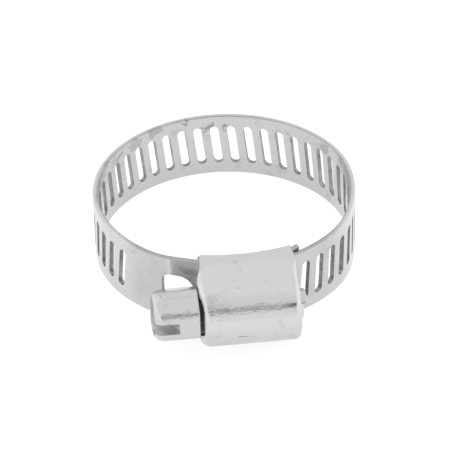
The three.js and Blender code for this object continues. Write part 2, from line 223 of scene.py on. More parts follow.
class Strip:
    """A closed piece of the band, as points of the flat strip with their normals, and its faces."""

    def __init__(self):
        self.number, self.points, self.normals, self.edge_highlight_and_shade = {}, [], [], []
        self.faces, self.slots, self.flat_shaded = [], [], []

    def point(self, position, normal, edge_highlight_and_shade=0.0):
        """The number of a point, the same one when it has been there already."""
        steps_per_mm = 1e5
        key = tuple(int(round(c * steps_per_mm)) for c in position)
        if key not in self.number:
            self.number[key] = len(self.points)
            self.points.append(tuple(position))
            self.normals.append(tuple(normal))
            self.edge_highlight_and_shade.append(edge_highlight_and_shade)
        return self.number[key]

    def face(self, ids, slot, facing=None):
        """A face turned the way its points' normals look, or flat across a cut that faces one way."""
        ids = [i for k, i in enumerate(ids) if i != ids[k - 1]]
        if len(ids) < 3 or len(set(ids)) < len(ids):
            return
        corners = np.array([self.points[i] for i in ids])
        turned = np.cross(corners, np.roll(corners, -1, axis=0)).sum(axis=0)
        wanted = np.sum([self.normals[i] for i in ids], axis=0) if facing is None else facing
        self.faces.append(ids if np.dot(turned, wanted) > 0 else ids[::-1])
        self.slots.append(slot)
        self.flat_shaded.append(facing)

    def grid(self, ids, slot, wrap=False):
        """Quads between rows of point numbers."""
        for low, high in zip(ids[:-1], ids[1:]):
            count = len(low)
            for k in range(count if wrap else count - 1):
                n = (k + 1) % count
                self.face([low[k], low[n], high[n], high[k]], slot)

    def faces_both_sides(self, rows, wrap=False, slot=FACE):
        """The sheet's outer and inner surface over rows of (along, across) points."""
        for height, up in ((THICK, 1.0), (0.0, -1.0)):
            ids = [[self.point((s, z, height), (0, 0, up)) for s, z in row] for row in rows]
            self.grid(ids, slot, wrap)

    def rim(self, outline, outward, rounding, slot, wrap=False):
        """The rounded edge of the sheet along an outline of wall points with outward directions. Its painted
        edge light is 0 on the faces, 1 for a painted highlight where the wall meets the outer face and -1 for
        painted shade where it meets the inner one."""
        rows = []
        for side, order in ((1, ROUND_TURNS), (-1, ROUND_TURNS[::-1])):
            for turn in order:
                inset, depth = rounding * (1 - math.sin(turn)), rounding * (1 - math.cos(turn))
                height = THICK - depth if side > 0 else depth
                row = []
                for (s, z), (ns, nz) in zip(outline, outward):
                    normal = (ns * math.sin(turn), nz * math.sin(turn), side * math.cos(turn))
                    place = (s - ns * inset, z - nz * inset, height)
                    row.append(self.point(place, normal, side * math.sin(turn)))
                rows.append(row)
        middle = len(ROUND_TURNS)
        self.grid(rows[:middle], FACE, wrap)
        self.grid(rows[middle - 1:middle + 1], slot, wrap)
        self.grid(rows[middle:], FACE, wrap)

    def edges(self, stations):
        """The band's two long edges over a list of places along it."""
        for sign in (1, -1):
            self.rim([(s, sign * BAND_HALF) for s in stations], [(0, sign)] * len(stations), EDGE_ROUND, FACE)

    def plain(self, start, end, columns, slot=FACE):
        """The band where it has no slots."""
        stations = np.linspace(start, end, columns + 1)
        self.faces_both_sides([[(s, z) for z in SIDE_Z] for s in stations], slot=slot)
        self.edges(stations)

    def slotted_cell(self, centre):
        """One slot with half a web on each side."""
        half_step = along(SLOT_STEP) / 2
        half_slot = SLOT_WIDTH / 2
        outer, wall, outward = [], [], []
        for side in (1, -1):
            for z in STRAIGHT_Z[:-1] * side:
                outer.append((side * half_step, z))
                wall.append((side * half_slot, z))
                outward.append((-side, 0))
            border = [(half_step, z) for z in BESIDE_Z[:-1]]
            border += [(s, MARGIN) for s in np.linspace(half_step, -half_step, BESIDE_STEPS + 1)[:-1]]
            border += [(-half_step, z) for z in BESIDE_Z[:0:-1]]
            for k, (s, z) in enumerate(border):
                turn = math.pi * k / len(border)
                across, up = math.cos(turn), math.sin(turn)
                outer.append((side * s, side * z))
                wall.append((side * half_slot * across, side * (STRAIGHT + half_slot * up)))
                outward.append((-side * across, -side * up))
        self.holed(centre, np.array(outer), np.array(wall), np.array(outward), rings=3)
        self.edges(centre + np.linspace(-half_step, half_step, BESIDE_STEPS + 1))

    def holed(self, centre, outer, wall, outward, rings):
        """Sheet between a border and a hole's wall, with the hole's rounded rim."""
        shift = np.array([centre, 0.0])
        mouth = wall - outward * SLOT_ROUND
        rows = [outer + (mouth - outer) * share + shift for share in np.linspace(0, 1, rings + 1)]
        self.faces_both_sides(rows, wrap=True)
        self.rim(wall + shift, outward, SLOT_ROUND, WALL, wrap=True)

    def window_cell(self, start, end):
        """The D-shaped window, as a hole in the strip from start to end."""
        centre = along(WINDOW_ANGLE)
        stations = np.linspace(start, end, 13) - centre
        border = [(stations[-1], z) for z in SIDE_Z[:-1]] + [(s, MARGIN) for s in stations[::-1][:-1]]
        border += [(stations[0], z) for z in SIDE_Z[::-1][:-1]] + [(s, -MARGIN) for s in stations[:-1]]
        outer = np.array(border)
        wall = np.array([window_wall(math.atan2(z, s)) for s, z in outer])
        along_wall = np.roll(wall, -1, axis=0) - np.roll(wall, 1, axis=0)
        outward = np.stack([-along_wall[:, 1], along_wall[:, 0]], axis=1)
        outward /= np.linalg.norm(outward, axis=1)[:, None]
        self.holed(centre, outer, wall, outward, rings=5)
        self.edges(stations + centre)

    def cut(self, place, direction):
        """Closes the piece where the next piece goes on."""
        ids = [self.point((place, z, THICK), (0, 0, 1)) for z in SIDE_Z]
        ids += self.edge_profile(place, 1)
        ids += [self.point((place, z, 0.0), (0, 0, -1)) for z in SIDE_Z[::-1]]
        ids += self.edge_profile(place, -1)[::-1]
        unique = [i for k, i in enumerate(ids) if i != ids[k - 1]]
        self.face(unique, WALL, facing=(direction, 0, 0))

    def edge_profile(self, place, sign):
        """The points round a long edge, from the outer face to the inner one."""
        ids = []
        for side, order in ((1, ROUND_TURNS), (-1, ROUND_TURNS[::-1])):
            for turn in order:
                z = sign * (BAND_HALF - EDGE_ROUND * (1 - math.sin(turn)))
                depth = EDGE_ROUND * (1 - math.cos(turn))
                height = THICK - depth if side > 0 else depth
                ids.append(self.point((place, z, height), (0, sign * math.sin(turn), side * math.cos(turn))))
        return ids

    def end(self, place, direction):
        """A real end of the band, square across with rounded edges."""
        outline, outward = [], []
        for sign, order in ((-1, ROUND_TURNS[:-1]), (1, ROUND_TURNS[-2::-1])):
            if sign > 0:
                outline += [(place, z) for z in SIDE_Z]
                outward += [(direction, 0)] * len(SIDE_Z)
            for turn in order:
                reach = place - direction * EDGE_ROUND * (1 - math.sin(turn))
                outline.append((reach, sign * (MARGIN + EDGE_ROUND * math.cos(turn))))
                outward.append((direction * math.sin(turn), sign * math.cos(turn)))
        self.rim(outline, outward, EDGE_ROUND, WALL)

    def build(self, name, materials):
        """The rolled piece, its normals turned with the sheet, its painted edge highlight and shade, and its
        places at rest.
        """
        flat, normals = np.array(self.points), np.array(self.normals)
        step = 1e-3
        columns = []
        for axis in range(3):
            nudge = np.zeros(3)
            nudge[axis] = step
            columns.append((bend(flat + nudge) - bend(flat - nudge)) / (2 * step))
        slopes = np.linalg.inv(np.stack(columns, axis=2))

        def turned(vectors, matrices):
            out = np.einsum("nji,nj->ni", matrices, vectors)
            return out / np.linalg.norm(out, axis=1)[:, None]

        rolled = turned(normals, slopes)
        rest_place = bend(flat)
        made = mesh_object(name, rest_place, self.faces, materials, self.slots)
        corner_normals = []
        for ids, facing in zip(self.faces, self.flat_shaded):
            if facing is None:
                corner_normals += [tuple(rolled[i]) for i in ids]
            else:
                flat_facing = np.tile(np.array(facing, float), (len(ids), 1))
                corner_normals += [tuple(n) for n in turned(flat_facing, slopes[ids])]
        # Painted highlight (1) and painted shade (-1) on the rounded edges, kept on each point.
        edge_highlight_and_shade = made.data.attributes.new("edge_highlight_and_shade", "FLOAT", "POINT")
        edge_highlight_and_shade.data.foreach_set("value", np.array(self.edge_highlight_and_shade, np.float32))
        rest = made.data.attributes.new("rest", "FLOAT_VECTOR", "POINT")
        rest.data.foreach_set("vector", (rest_place * MM).astype(np.float32).ravel())
        made.data.normals_split_custom_set(corner_normals)
        return made


def window_wall(direction):
    """Where a ray from the window's middle meets its D-shaped outline."""
    c, s = math.cos(direction), math.sin(direction)
    low, high, halvings = 0.0, 4.0, 40
    for _ in range(halvings):
        middle = (low + high) / 2
        x, y = middle * c, abs(middle * s)
        if x >= 0:
            inside = math.hypot(x, y) < WINDOW_HEIGHT
        else:
            corner_x = max(-x - (WINDOW_LEFT - WINDOW_CORNER), 0)
            corner_y = max(y - (WINDOW_HEIGHT - WINDOW_CORNER), 0)
            inside = math.hypot(corner_x, corner_y) < WINDOW_CORNER
        low, high = (middle, high) if inside else (low, middle)
    return low * c, low * s


def slotted(strip, first_web, last_web):
    """The slots from one web to another."""
    for index in range(first_web, last_web):
        strip.slotted_cell(along(web_angle(index) + SLOT_STEP / 2))


def band_pieces(materials):
    """Every piece of the band."""
    between_hinges = [(a + b + 1) // 2 for a, b in zip(HINGE_WEBS[:-1], HINGE_WEBS[1:])]
    borders = [FIRST_LINK_WEB, *between_hinges, LAST_WEB]
    plain_from = along(web_angle(LAST_WEB)) + 1
    for number, (first, last) in enumerate(zip(borders[:-1], borders[1:]), start=1):
        joint = JOINTS[f"band_bend_{number}"]
        strip = Strip()
        slotted(strip, first, last)
        end, half_run = along(web_angle(last)), BEND_RUN
        if last == LAST_WEB:
            strip.plain(end, plain_from, 4)
            end, half_run = plain_from, SHORT_BEND_RUN
        strip.cut(along(web_angle(first)), -1)
        strip.cut(end, 1)
        piece = strip.build(f"band_bend_{number}", materials)
        finish_blend(piece)
        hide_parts(joint["parent"] if joint["parent"] != "root" else joint["child"])

    tail = Strip()
    slotted(tail, TAIL_WEB, FIRST_LINK_WEB)
    tail.cut(along(web_angle(TAIL_WEB)), -1)
    tail.cut(along(web_angle(FIRST_LINK_WEB)), 1)
    piece = tail.build("band_tail_straight", materials)
    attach(piece, "band_tail")
    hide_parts("band_tail")

    tip = Strip()
    slotted(tip, TIP_WEB, TAIL_WEB)
    tip.plain(along(TAIL_END) + EDGE_ROUND, along(web_angle(TIP_WEB)), 5)
    tip.end(along(TAIL_END), -1)
    tip.cut(along(web_angle(TAIL_WEB)), 1)
    piece = tip.build("band_tail_end", materials)
    finish_blend(piece)
    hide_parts("band_tail_tip")

    fixed = Strip()
    window_start, window_end = along(WINDOW_ANGLE) - WINDOW_REACH, along(WINDOW_ANGLE) + WINDOW_REACH
    fixed.plain(plain_from, window_start, 14)
    fixed.window_cell(window_start, window_end)
    # Painted shade: the last stretch of the fixed end has the darker cut-edge steel on both faces.
    dark_end = along(FIXED_END) - END_PAINTED_SHADE
    fixed.plain(window_end, dark_end, 46)
    fixed.plain(dark_end, along(FIXED_END) - EDGE_ROUND, 5, WALL)
    fixed.end(along(FIXED_END), 1)
    fixed.cut(plain_from, -1)
    piece = fixed.build("band_fixed_part", materials)
    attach(piece, "root")
    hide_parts("band_fixed_end")


def finish_blend(piece):
    """Bakes a piece's transform into its points."""
    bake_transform(piece)


# ---- Housing ----


def fillet_path(corners, steps):
    """A path through corners (x, y, rounding), each but the first and last turned as an arc."""
    points = [np.array(corners[0][:2], float)]
    for before, (x, y, rounding), after, count in zip(corners[:-2], corners[1:-1], corners[2:], steps):
        here = np.array([x, y], float)
        back = np.array(before[:2]) - here
        ahead = np.array(after[:2]) - here
        back /= np.linalg.norm(back)
        ahead /= np.linalg.norm(ahead)
        half = math.acos(np.clip(np.dot(back, ahead), -1, 1)) / 2
        middle = (back + ahead) / np.linalg.norm(back + ahead)
        centre = here + middle * rounding / math.sin(half)
        first = here + back * rounding / math.tan(half) - centre
        last = here + ahead * rounding / math.tan(half) - centre
        sweep = math.pi - 2 * half
        for k in range(count + 1):
            share = k / count
            points.append(centre + (first * math.sin((1 - share) * sweep) + last * math.sin(share * sweep))
                          / math.sin(sweep))
    points.append(np.array(corners[-1][:2], float))
    return np.array(points)


def spread(path, count):
    """A path with count points at even distances."""
    run = np.concatenate([[0], np.cumsum(np.linalg.norm(np.diff(path, axis=0), axis=1))])
    even = np.linspace(0, run[-1], count)
    return np.stack([np.interp(even, run, path[:, k]) for k in range(2)], axis=1)


def housing_outline():
    """Half of the sheet's outer outline across the housing: (distance from the ring's centre, Z)."""
    back = FLANK_FOOT - SCREW_DISTANCE
    angle = math.atan2(HOUSING_TOP, back) - math.acos(BULGE / math.hypot(back, HOUSING_TOP))
    touch = (SCREW_DISTANCE + BULGE * math.cos(angle), BULGE * math.sin(angle), 0)
    corners = [(SADDLE_FACE, SEAM, 0), (SADDLE_FACE, HOUSING_TOP, FOLD_ROUND),
               (FLANK_FOOT, HOUSING_TOP, FLANK_ROUND), touch]
    fold_steps, flank_steps = 10, 6
    path = fillet_path(corners, [fold_steps, flank_steps])
    fold, flank = path[1:fold_steps + 2], path[fold_steps + 2:-1]
    saddle = np.linspace(path[0], fold[0], 9)[:-1]
    top = np.linspace(fold[-1], flank[0], 6)[1:-1]
    run_up = np.linspace(flank[-1], path[-1], 4)[1:-1]
    turns = np.linspace(angle, 0, 22)
    bulge = np.stack([SCREW_DISTANCE + BULGE * np.cos(turns), BULGE * np.sin(turns)], axis=1)
    return np.concatenate([saddle, fold, top, flank, run_up, bulge])


def head_side_flare(out):
    """How far the rolled end on the head's side stands out past the flanks' ends."""
    return FLARE * smooth(out, FLARE_FROM, FLARE_TO) - FLARE_LOSS * smooth(out, LOSS_FROM, LOSS_TO)


def sagitta(radius, x):
    """How far an arc's chord stands back from its middle at x."""
    return radius - math.sqrt(radius ** 2 - x ** 2)


def rolled_end(mid, lip, roll):
    """The sheet's section at a rolled-in end, from the outer face round the lip to the inner face."""
    end, lip_inner = HOUSING_HALF, HOUSING_HALF - SHEET
    edge, inner_roll = 0.14, 0.3
    corners = [(mid, 0, 0), (end, 0, roll), (end, lip, edge), (lip_inner, lip, edge),
               (lip_inner, SHEET, inner_roll), (mid, SHEET, 0)]
    return fillet_path(corners, [10, 5, 5, 6])


def end_sections(mid, count):
    """The sheet's section at an end: plain, rolled in on the right and rolled in on the left."""
    end, edge = HOUSING_HALF, 0.2
    plain = fillet_path([(mid, 0, 0), (end, 0, edge), (end, SHEET, edge), (mid, SHEET, 0)], [8, 8])
    paths = [plain, rolled_end(mid, *LIP_RIGHT), rolled_end(mid, *LIP_LEFT)]
    return [spread(path, count) for path in paths]


def ring_faces(rows, around):
    """Quads between rings of points."""
    faces = []
    for base in range(0, (rows - 1) * around, around):
        for k in range(around):
            n = (k + 1) % around
            faces.append((base + k, base + n, base + around + n, base + around + k))
    return faces


def housing_piece(material):
    """One bent sheet: wrapped round the screw and the band's edges, butted on the saddle's middle line,
    with its ends rolled in round the screw."""
    upper = housing_outline()
    outline = np.concatenate([upper, upper[-2::-1] * [1, -1]])
    ahead = np.roll(outline, -1, axis=0) - np.roll(outline, 1, axis=0)
    ahead[0], ahead[-1] = outline[1] - outline[0], outline[-1] - outline[-2]
    outward = np.stack([-ahead[:, 1], ahead[:, 0]], axis=1)
    outward /= np.linalg.norm(outward, axis=1)[:, None]
    # How far each place of the outline has its ends rolled in, follows the ring's curve, lies beside the
    # band and lies at the fold.
    rolled = smooth(outline[:, 0], ROLL_FROM, ROLL_TO)
    follows_ring = 1 - smooth(outline[:, 0], SADDLE_FACE + EASE, FLANK_FOOT + EASE)
    beside_band = 1 - smooth(np.abs(outline[:, 1]), BAND_HALF - EASE, HOUSING_TOP)
    at_fold = (1 - beside_band) * (1 - smooth(outline[:, 0], SADDLE_FACE, FLANK_FOOT))

    mid, count, flare_run = HOUSING_HALF - ROLL_RUN, 30, 1
    plain, right_end, left_end = end_sections(mid, count)
    between = np.linspace(-mid, mid, 15)[1:-1]
    points = []
    shares = zip(outline, outward, rolled, follows_ring, beside_band, at_fold)
    for (out, up), (n_out, n_up), roll, follow, wall, fold in shares:
        right = plain + (right_end - plain) * roll
        left = plain + (left_end - plain) * roll
        loop = [(x, 0.0) for x in between] + list(right) + [(x, SHEET) for x in between[::-1]]
        loop += [(-x, depth) for x, depth in left[::-1]]
        for x, depth in loop:
            x *= 1 - CORNER_EASE * fold / HOUSING_HALF
            x += HOUSING_MIDDLE - head_side_flare(out) * smooth(-x, mid - flare_run, HOUSING_HALF)
            sag = wall * sagitta(SADDLE_FACE, x) + (1 - wall) * sagitta(FOLD_RADIUS, x)
            points.append((x, -(out - n_out * depth - follow * sag), up - n_up * depth))
    per_loop = 2 * len(between) + 2 * count
    faces = ring_faces(len(outline), per_loop)
    half = per_loop // 2
    turn = len(between) + count // 2
    for base, flip in ((0, False), ((len(outline) - 1) * per_loop, True)):
        for k in range(half - 1):
            ids = [base + (turn + j) % per_loop for j in (k, k + 1, per_loop - k - 2, per_loop - k - 1)]
            faces.append(tuple(ids[::-1] if flip else ids))
    made = mesh_object("housing_shell", points, faces, [material])
    outwards_only(made)
    made.data.set_sharp_from_angle(angle=math.radians(50))
    return made


def outwards_only(made):
    """Turns all faces to look out of the solid and drops doubled points."""
    work = bmesh.new()
    work.from_mesh(made.data)
    bmesh.ops.remove_doubles(work, verts=work.verts, dist=1e-7)
    bmesh.ops.dissolve_degenerate(work, edges=work.edges, dist=1e-8)
    bmesh.ops.recalc_face_normals(work, faces=work.faces)
    work.to_mesh(made.data)
    work.free()


# ---- Screw ----


def boolean(made, tool, operation):
    """Joins a tool to an object or cuts it out, and removes the tool."""
    modifier = made.modifiers.new(operation, "BOOLEAN")
    modifier.operation, modifier.object, modifier.solver = operation, tool, "EXACT"
    bpy.context.view_layer.update()
    evaluated = made.evaluated_get(bpy.context.evaluated_depsgraph_get())
    mesh = bpy.data.meshes.new_from_object(evaluated)
    made.modifiers.clear()
    made.data = mesh
    bpy.data.objects.remove(tool)


def hexagon_radius(flats, rounding, turn):
    """Distance to a hexagon's outline, its corners rounded, at an angle from the middle of a flat."""
    from_flat = abs((turn + math.pi / 6) % (math.pi / 3) - math.pi / 6)
    tangent = (flats - rounding) * math.tan(math.pi / 6)
    if flats * math.tan(from_flat) < tangent:
        return flats / math.cos(from_flat)
    centre = (flats - rounding) / math.cos(math.pi / 6)
    from_corner = math.pi / 6 - from_flat
    return centre * math.cos(from_corner) + math.sqrt(rounding ** 2 - (centre * math.sin(from_corner)) ** 2)


def rounded(distance, radius):
    """How far a quarter-round edge stands back at a distance from the end it rounds."""
    share = min(max(distance / radius, 0), 1)
    return radius * (1 - math.sqrt(1 - (1 - share) ** 2))


def screw_head(material, slot_material):
    """Hexagonal head with soft edges, turned to a dome at its end."""
    sides = 144
    flats = HEAD_FLATS / 2
    corner_round, dome_length, dome_radius, dome_power, blend = 1.2, 1.8, 3.1, 0.22, 14
    first, start_round = 0.1, 0.25
    near_end = HEAD_END + dome_length * (np.linspace(first, 1, 26) ** 2 - first ** 2)
    along_flats = np.linspace(near_end[-1], HEAD_START - start_round, 7)[1:]
    near_start = HEAD_START - start_round * (1 - np.sin(np.linspace(0, np.pi / 2, 6)[1:]))
    stations = np.concatenate([near_end, along_flats, near_start])
    points = []
    for x in stations:
        depth = (x - HEAD_END) / dome_length + first ** 2
        dome = dome_radius * (1 - max(1 - depth, 0) ** 2) ** dome_power
        edge = 0.5 * rounded(HEAD_START - x, start_round)
        for k in range(sides):
            turn = 2 * math.pi * k / sides
            hexagon = hexagon_radius(flats, corner_round, turn) - edge
            # The smaller of dome and hexagon, with a soft edge where they meet.
            radius = -math.log(math.exp(-blend * dome) + math.exp(-blend * hexagon)) / blend
            points.append((x, -SCREW_DISTANCE - radius * math.cos(turn), radius * math.sin(turn)))
    faces = ring_faces(len(stations), sides)
    faces += [tuple(range(sides)), tuple(range(len(points) - sides, len(points)))]
    head = mesh_object("screw", points, faces, [material, slot_material])
    outwards_only(head)
    return head


def box_tool(low, high):
    """A box between two corners, to cut with."""
    corners = [(x, y, z) for x in (low[0], high[0]) for y in (low[1], high[1]) for z in (low[2], high[2])]
    faces = [(0, 1, 3, 2), (4, 6, 7, 5), (0, 4, 5, 1), (2, 3, 7, 6), (0, 2, 6, 4), (1, 5, 7, 3)]
    return mesh_object("tool", corners, faces, [])


def screw_shank(material):
    """Neck and rolled thread as one surface whose radius follows the thread. The thinner tip ends in a
    face that winds back along the thread, with a step where it meets itself."""
    around, row_length = 96, 0.07
    start, longest = HEAD_START - 0.6, SCREW_TIP + 0.1
    rows = round((longest - start) / row_length)
    points = []
    for row in range(rows):
        for k in range(around):
            turn = 2 * math.pi * k / around
            end = longest - TIP_STEP * ((TIP_STEP_TURN - turn) / (2 * math.pi) % 1)
            x = start + (end - start) * row / (rows - 1)
            started = smooth(x, THREAD_FROM, THREAD_FROM + 0.7)
            ended = smooth(x, SCREW_TIP - 1.6, SCREW_TIP - 0.7)
            at_neck = 1 - smooth(x, THREAD_FROM - 0.4, THREAD_FROM - 0.1)
            at_tip = smooth(x, SCREW_TIP - 1.3, SCREW_TIP - 0.6)
            core = CORE + NECK_COLLAR * at_neck - TIP_THINNER * at_tip - rounded(end - x, TIP_ROUND)
            phase = ((x - THREAD_CENTRE) / PITCH - turn / (2 * math.pi)) % 1
            tooth = 1 - smooth(min(phase, 1 - phase) * PITCH, CREST, TOOTH_FOOT)
            radius = core + (THREAD_TOP - CORE) * tooth * started * (1 - ended)
            points.append((x, -SCREW_DISTANCE + radius * math.cos(turn), radius * math.sin(turn)))
    faces = ring_faces(rows, around) + [tuple(range(around))]
    last = len(points) - around
    points.append((longest - TIP_STEP / 2, -SCREW_DISTANCE, 0))
    faces += [(last + k, last + (k + 1) % around, len(points) - 1) for k in range(around)]
    shank = mesh_object("shank", points, faces, [material])
    outwards_only(shank)
    return shank


def screw_piece(material, slot_material, neck_material, end_material):
    """The head with its sawn slot, the neck and the thread as one solid, each face with its own steel."""
    head = screw_head(material, slot_material)
    floor = HEAD_END + SLOT_DEPTH
    slot = box_tool((HEAD_END - 1, -SCREW_DISTANCE - HEAD_FLATS, -SLOT_HALF),
                    (floor, -SCREW_DISTANCE + HEAD_FLATS, SLOT_HALF))
    slot.data.materials.append(slot_material)
    boolean(head, slot, "DIFFERENCE")
    boolean(head, screw_shank(material), "UNION")
    head.data.materials.append(neck_material)
    head.data.materials.append(end_material)
    outwards_only(head)
    near, across, end_depth = 0.02, 0.9, 0.4
    for polygon in head.data.polygons:
        middle, normal = polygon.center / MM, polygon.normal
        in_slot = abs(middle.z) < SLOT_HALF + near and middle.x < floor + near
        side = in_slot and abs(normal.z) > across
        on_floor = abs(middle.x - floor) < near and abs(middle.z) < SLOT_HALF
        # The neck's faces get the near-black steel, which is painted shade.
        neck = HEAD_START - 0.1 < middle.x < THREAD_FROM
        end = normal.x < -across and middle.x < HEAD_END + end_depth
        polygon.material_index = 1 if side or on_floor else 2 if neck else 3 if end else 0
    head.data.set_sharp_from_angle(angle=math.radians(35))
    return head


# ---- Materials ----


class Nodes:
    """A small helper that adds nodes to a tree and joins them."""

    def __init__(self, tree):
        self.tree = tree

    def add(self, kind, inputs=None, **settings):
        """A node with its settings, each input linked to a socket or set to a value."""
        node = self.tree.nodes.new(kind)
        for key, value in settings.items():
            setattr(node, key, value)
        for key, value in (inputs or {}).items():
            if isinstance(value, bpy.types.NodeSocket):
                self.tree.links.new(value, node.inputs[key])
            else:
                node.inputs[key].default_value = value
        return node

    def noise(self, vector, scale, detail=3.0, roughness=0.5):
        """Noise with about this many bumps a metre."""
        made = self.add("ShaderNodeTexNoise", {"Vector": vector, "Scale": scale, "Detail": detail,
                                               "Roughness": roughness})
        return made.outputs["Fac"]

    def grain(self, vector, frequency, detail, roughness=0.5, turn=(0, 0, 0)):
        """Noise in axes turned from the object's, with its own number of bumps a metre along each."""
        lengths = [1 / f for f in frequency]
        drawn_out = self.add("ShaderNodeMapping", {"Vector": vector, "Scale": lengths, "Rotation": turn},
                             vector_type="TEXTURE")
        return self.noise(drawn_out.outputs["Vector"], 1.0, detail, roughness)

    def ramp(self, value, low, high, to_low=0.0, to_high=1.0):
        """Takes a value from one range to another, and no further than its ends."""
        made = self.add("ShaderNodeMapRange", {"Value": value, "From Min": low, "From Max": high,
                                               "To Min": to_low, "To Max": to_high})
        return made.outputs["Result"]

    def math(self, operation, first, second):
        made = self.add("ShaderNodeMath", {0: first, 1: second}, operation=operation)
        return made.outputs[0]

    def product(self, first, *others):
        for other in others:
            first = self.math("MULTIPLY", first, other)
        return first

    def away(self, value, centre):
        """How far a value is from the centre."""
        return self.math("ABSOLUTE", self.math("SUBTRACT", value, centre), 0.0)

    def split(self, vector):
        """A vector's X, Y and Z."""
        return self.add("ShaderNodeSeparateXYZ", {"Vector": vector}).outputs

    def length(self, first, second):
        """The length of a vector with two parts."""
        flat = self.add("ShaderNodeCombineXYZ", {"X": first, "Y": second}).outputs["Vector"]
        return self.add("ShaderNodeVectorMath", {0: flat}, operation="LENGTH").outputs["Value"]

    def mix(self, factor, first, second):
        made = self.add("ShaderNodeMix", {"Factor": factor}, data_type="RGBA")
        for socket, value in ((made.inputs[6], first), (made.inputs[7], second)):
            if isinstance(value, bpy.types.NodeSocket):
                self.tree.links.new(value, socket)
            else:
                socket.default_value = value
        return made.outputs[2]

    def bump(self, height, strength, distance, normal=None):
        inputs = {"Height": height, "Strength": strength, "Distance": distance}
        if normal is not None:
            inputs["Normal"] = normal
        return self.add("ShaderNodeBump", inputs).outputs["Normal"]


def grey(level, warmth=0.0):
    """A grey colour, a little yellower with some warmth."""
    return (level * (1 + warmth), level, level * (1 - 1.6 * warmth), 1.0)


def new_material(name):
    """A material with its shader and a helper for its nodes."""
    material = bpy.data.materials.new(name)
    material.use_nodes = True
    tree = material.node_tree
    return material, tree.nodes["Principled BSDF"], Nodes(tree)


def surface_place(n, band):
    """A point of the surface. The band's pieces carry it as it is at rest."""
    if band:
        return n.add("ShaderNodeAttribute", attribute_name="rest").outputs["Vector"]
    return n.add("ShaderNodeTexCoord").outputs["Object"]


def smudges(n, place):
    """How tarnished the band's inner face is: a little all over, and most in the angular patches and the
    tide lines under the far side's rim."""
    at = n.split(place)
    radius = n.length(at["X"], at["Y"])
    inner_face = n.ramp(radius, (RING_INNER + 0.3) * MM, (RING_INNER + 0.35) * MM, 1.0, 0.0)
    far_side = n.ramp(at["Y"], 2 * MM, 7 * MM, 0.3, 1.0)
    rim = n.ramp(at["Z"], 1.2 * MM, 2.6 * MM)
    wobble = n.add("ShaderNodeTexNoise", {"Vector": place, "Scale": 900.0, "Detail": 2.0})
    bent = n.add("ShaderNodeVectorMath", {0: wobble.outputs["Color"], "Scale": 1.1 * MM}, operation="SCALE")
    moved = n.add("ShaderNodeVectorMath", {0: place, 1: bent.outputs["Vector"]}, operation="ADD")
    cells = n.add("ShaderNodeTexVoronoi", {"Vector": moved.outputs["Vector"], "Scale": 620.0},
                  distance="MANHATTAN")
    patch = n.ramp(n.split(cells.outputs["Color"])["X"], 0.74, 0.82, 0.0, 0.55)
    tide = n.ramp(n.away(n.noise(place, 560.0, 1.5), 0.5), 0.015, 0.045, 1.0, 0.0)
    some_places = n.ramp(n.noise(place, 330.0, 1.0), 0.55, 0.62)
    left_part = n.ramp(at["X"], 3 * MM, 5 * MM, 1.0, 0.0)
    outline = n.product(tide, some_places, left_part)
    marks = n.product(n.math("MAXIMUM", patch, outline), rim)
    return n.product(n.ramp(marks, 0.0, 1.0, 0.14, 1.0), inner_face, far_side)


def low_shade(n, place, most):
    """Painted shade: the steel a little darker towards its lower edge."""
    return n.ramp(n.split(place)["Z"], 0.5 * MM, -BAND_HALF * MM, 0.0, most)


def clouds_and_rim_reflection(n, place):
    """Cloudy smudges on the band's outer face beside the housing, at the screw's head and tip, and a painted
    dark reflection along its top rim there.
    """
    at = n.split(place)
    radius = n.length(at["X"], at["Y"])
    outer = n.ramp(radius, (RING_INNER + 0.4) * MM, (RING_INNER + 0.45) * MM)
    clouds = n.ramp(n.noise(place, 260.0, 3.0), 0.35, 0.65, 0.12, 0.26)
    cloudy = n.product(outer, clouds, n.ramp(at["Z"], -3.5 * MM, -1.5 * MM, 0.3, 1.0))
    # Painted dark reflection along the top rim.
    rim = n.ramp(at["Z"], (BAND_HALF - 0.1) * MM, (BAND_HALF - 0.05) * MM, 0.0, 0.5)
    front = n.ramp(at["Y"], -4 * MM, -6 * MM)
    at_head = n.product(n.ramp(at["X"], -12.5 * MM, -10.8 * MM), n.ramp(at["X"], 3 * MM, -1 * MM))
    at_tip = n.product(n.ramp(at["X"], 12.5 * MM, 9.5 * MM), n.ramp(at["X"], 3 * MM, 5 * MM))
    return n.product(n.math("MAXIMUM", cloudy, rim), n.math("MAXIMUM", at_head, at_tip), front)


def within(n, value, centre, near, far):
    """1 where a value is no further than near from the centre, 0 beyond far."""
    return n.ramp(n.away(value, centre * MM), near * MM, far * MM, 1.0, 0.0)


def rubbed_line(n, place):
    """Where the press tool rubbed the bulge: a broken line along it, on both its sides."""
    at = n.split(place)
    on_bulge = n.ramp(at["Y"], -SCREW_DISTANCE * MM, -(SCREW_DISTANCE + 1) * MM)
    line = within(n, n.math("ABSOLUTE", at["Z"], 0.0), 2.25, 0.2, 0.75)
    return n.product(line, on_bulge, n.ramp(n.noise(place, 330.0, 2.0), 0.38, 0.58, 0.25, 1.0))


def rubbed_corners(n, place):
    """Where the head's corners are rubbed."""
    at = n.split(place)
    radius = n.length(n.math("ADD", at["Y"], SCREW_DISTANCE * MM), at["Z"])
    return n.ramp(radius, (HEAD_FLATS / 2 + 0.07) * MM, (HEAD_FLATS / 2 + 0.14) * MM)


def scuff(n, place):
    """A short broken scratch low on the bulge."""
    at = n.split(place)
    length = within(n, at["X"], HOUSING_MIDDLE - 0.95, 0.75, 0.95)
    wander = n.product(n.noise(place, 700.0, 2.0), 0.4 * MM)
    width = within(n, n.math("SUBTRACT", at["Z"], wander), -1.2, 0.02, 0.09)
    broken = n.ramp(n.grain(place, (3400.0, 400.0, 2500.0), 1.0), 0.43, 0.5)
    return n.product(length, width, broken)


